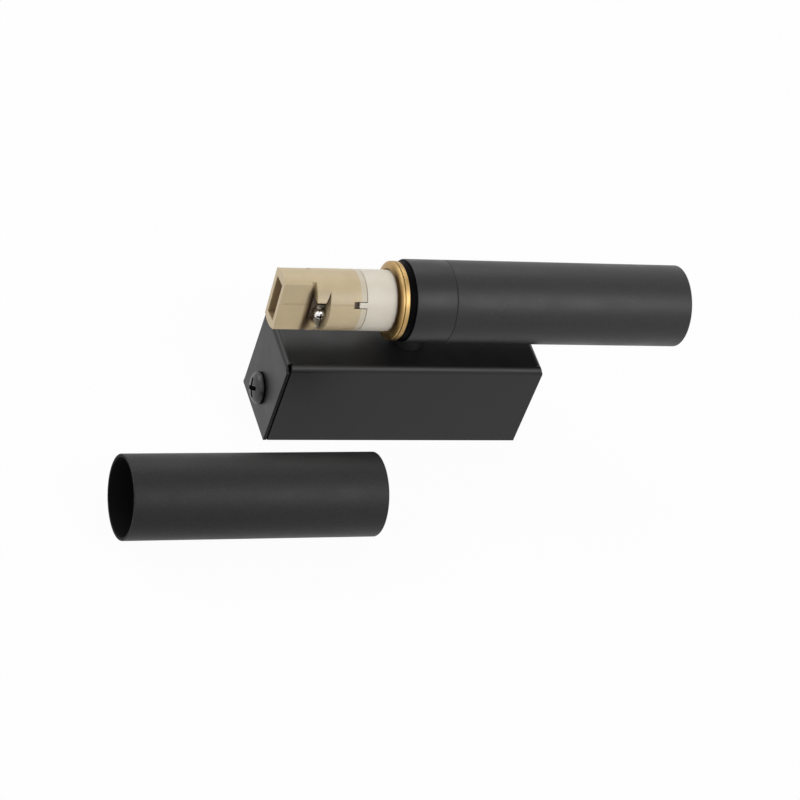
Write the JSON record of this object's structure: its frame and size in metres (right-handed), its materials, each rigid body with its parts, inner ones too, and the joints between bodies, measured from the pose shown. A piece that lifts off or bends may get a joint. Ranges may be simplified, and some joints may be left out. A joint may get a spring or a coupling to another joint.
{
  "type": "wall sconce",
  "caption": "Black wall sconce: box canopy, short stem and collar, brass rings, bi-pin lampholders and open tube shades, one of them pulled off and lying loose.",
  "frame": {"origin": "middle of the open back of the canopy, on the plane of the wall", "axes": "+X along the shades, +Z out of the wall (up, as the picture shows it lying on its back), +Y up the wall"},
  "size_m": [0.218, 0.0885, 0.0705],
  "materials": {
    "canopy_paint": "fine satin powder coat",
    "collar_paint": "satin black paint on turned metal",
    "shade_paint": "fine satin powder coat",
    "screw_black": "black coated steel",
    "brass": "turned and lacquered",
    "brass_inner": "plain",
    "cap_white": "glazed-looking moulded",
    "body_beige": "moulded",
    "zinc": "zinc plated",
    "bright_steel": "nickel plated",
    "dull_strip": "dull",
    "contact_metal": "spring brass",
    "white_plastic": "moulded",
    "wire_brown": "sleeve",
    "wire_blue": "sleeve",
    "wire_earth": "green and yellow sleeve",
    "tinned": "tinned"
  },
  "bodies": {
    "fixture": {"canopy": "canopy_paint", "wall_bracket": "zinc", "canopy_screw_left": "screw_black", "canopy_screw_right": "screw_black", "stem_spacer": "collar_paint", "stem_nipple": "zinc", "stem_nut": "zinc", "stem_washer": "zinc", "wire_bush": "white_plastic", "collar": "collar_paint", "ring_left": "brass", "ring_right": "brass", "holder_nipple_left": "zinc", "holder_nipple_right": "zinc", "holder_cap_left": "cap_white", "holder_cap_right": "cap_white", "holder_body_left": "body_beige", "holder_body_right": "body_beige", "holder_screw_left": "bright_steel", "holder_screw_right": "bright_steel", "holder_clip_left": "dull_strip", "holder_clip_right": "dull_strip", "contacts_left": "contact_metal", "contacts_right": "contact_metal", "terminal_block": "white_plastic", "terminal_inserts": "brass_inner", "terminal_screws": "zinc", "block_screw": "zinc", "earth_screw": "brass_inner", "earth_lug": "tinned", "wire_brown_left": "wire_brown", "wire_blue_left": "wire_blue", "wire_brown_right": "wire_brown", "wire_blue_right": "wire_blue", "wire_earth": "wire_earth"},
    "right_shade": {"shade_right": "shade_paint"},
    "left_shade": {"shade_left": "shade_paint"}
  },
  "joints": [
    {"name": "right_shade_pull", "type": "slide", "parent": "fixture", "child": "right_shade", "axis": [1, 0, 0], "range_m": [0, 0.05]},
    {"name": "loose_shade_carry", "type": "slide", "parent": "fixture", "child": "left_shade", "axis": [-0.6712, 0.6051, 0.4281], "range_m": [0, 0.0946]}
  ]
}
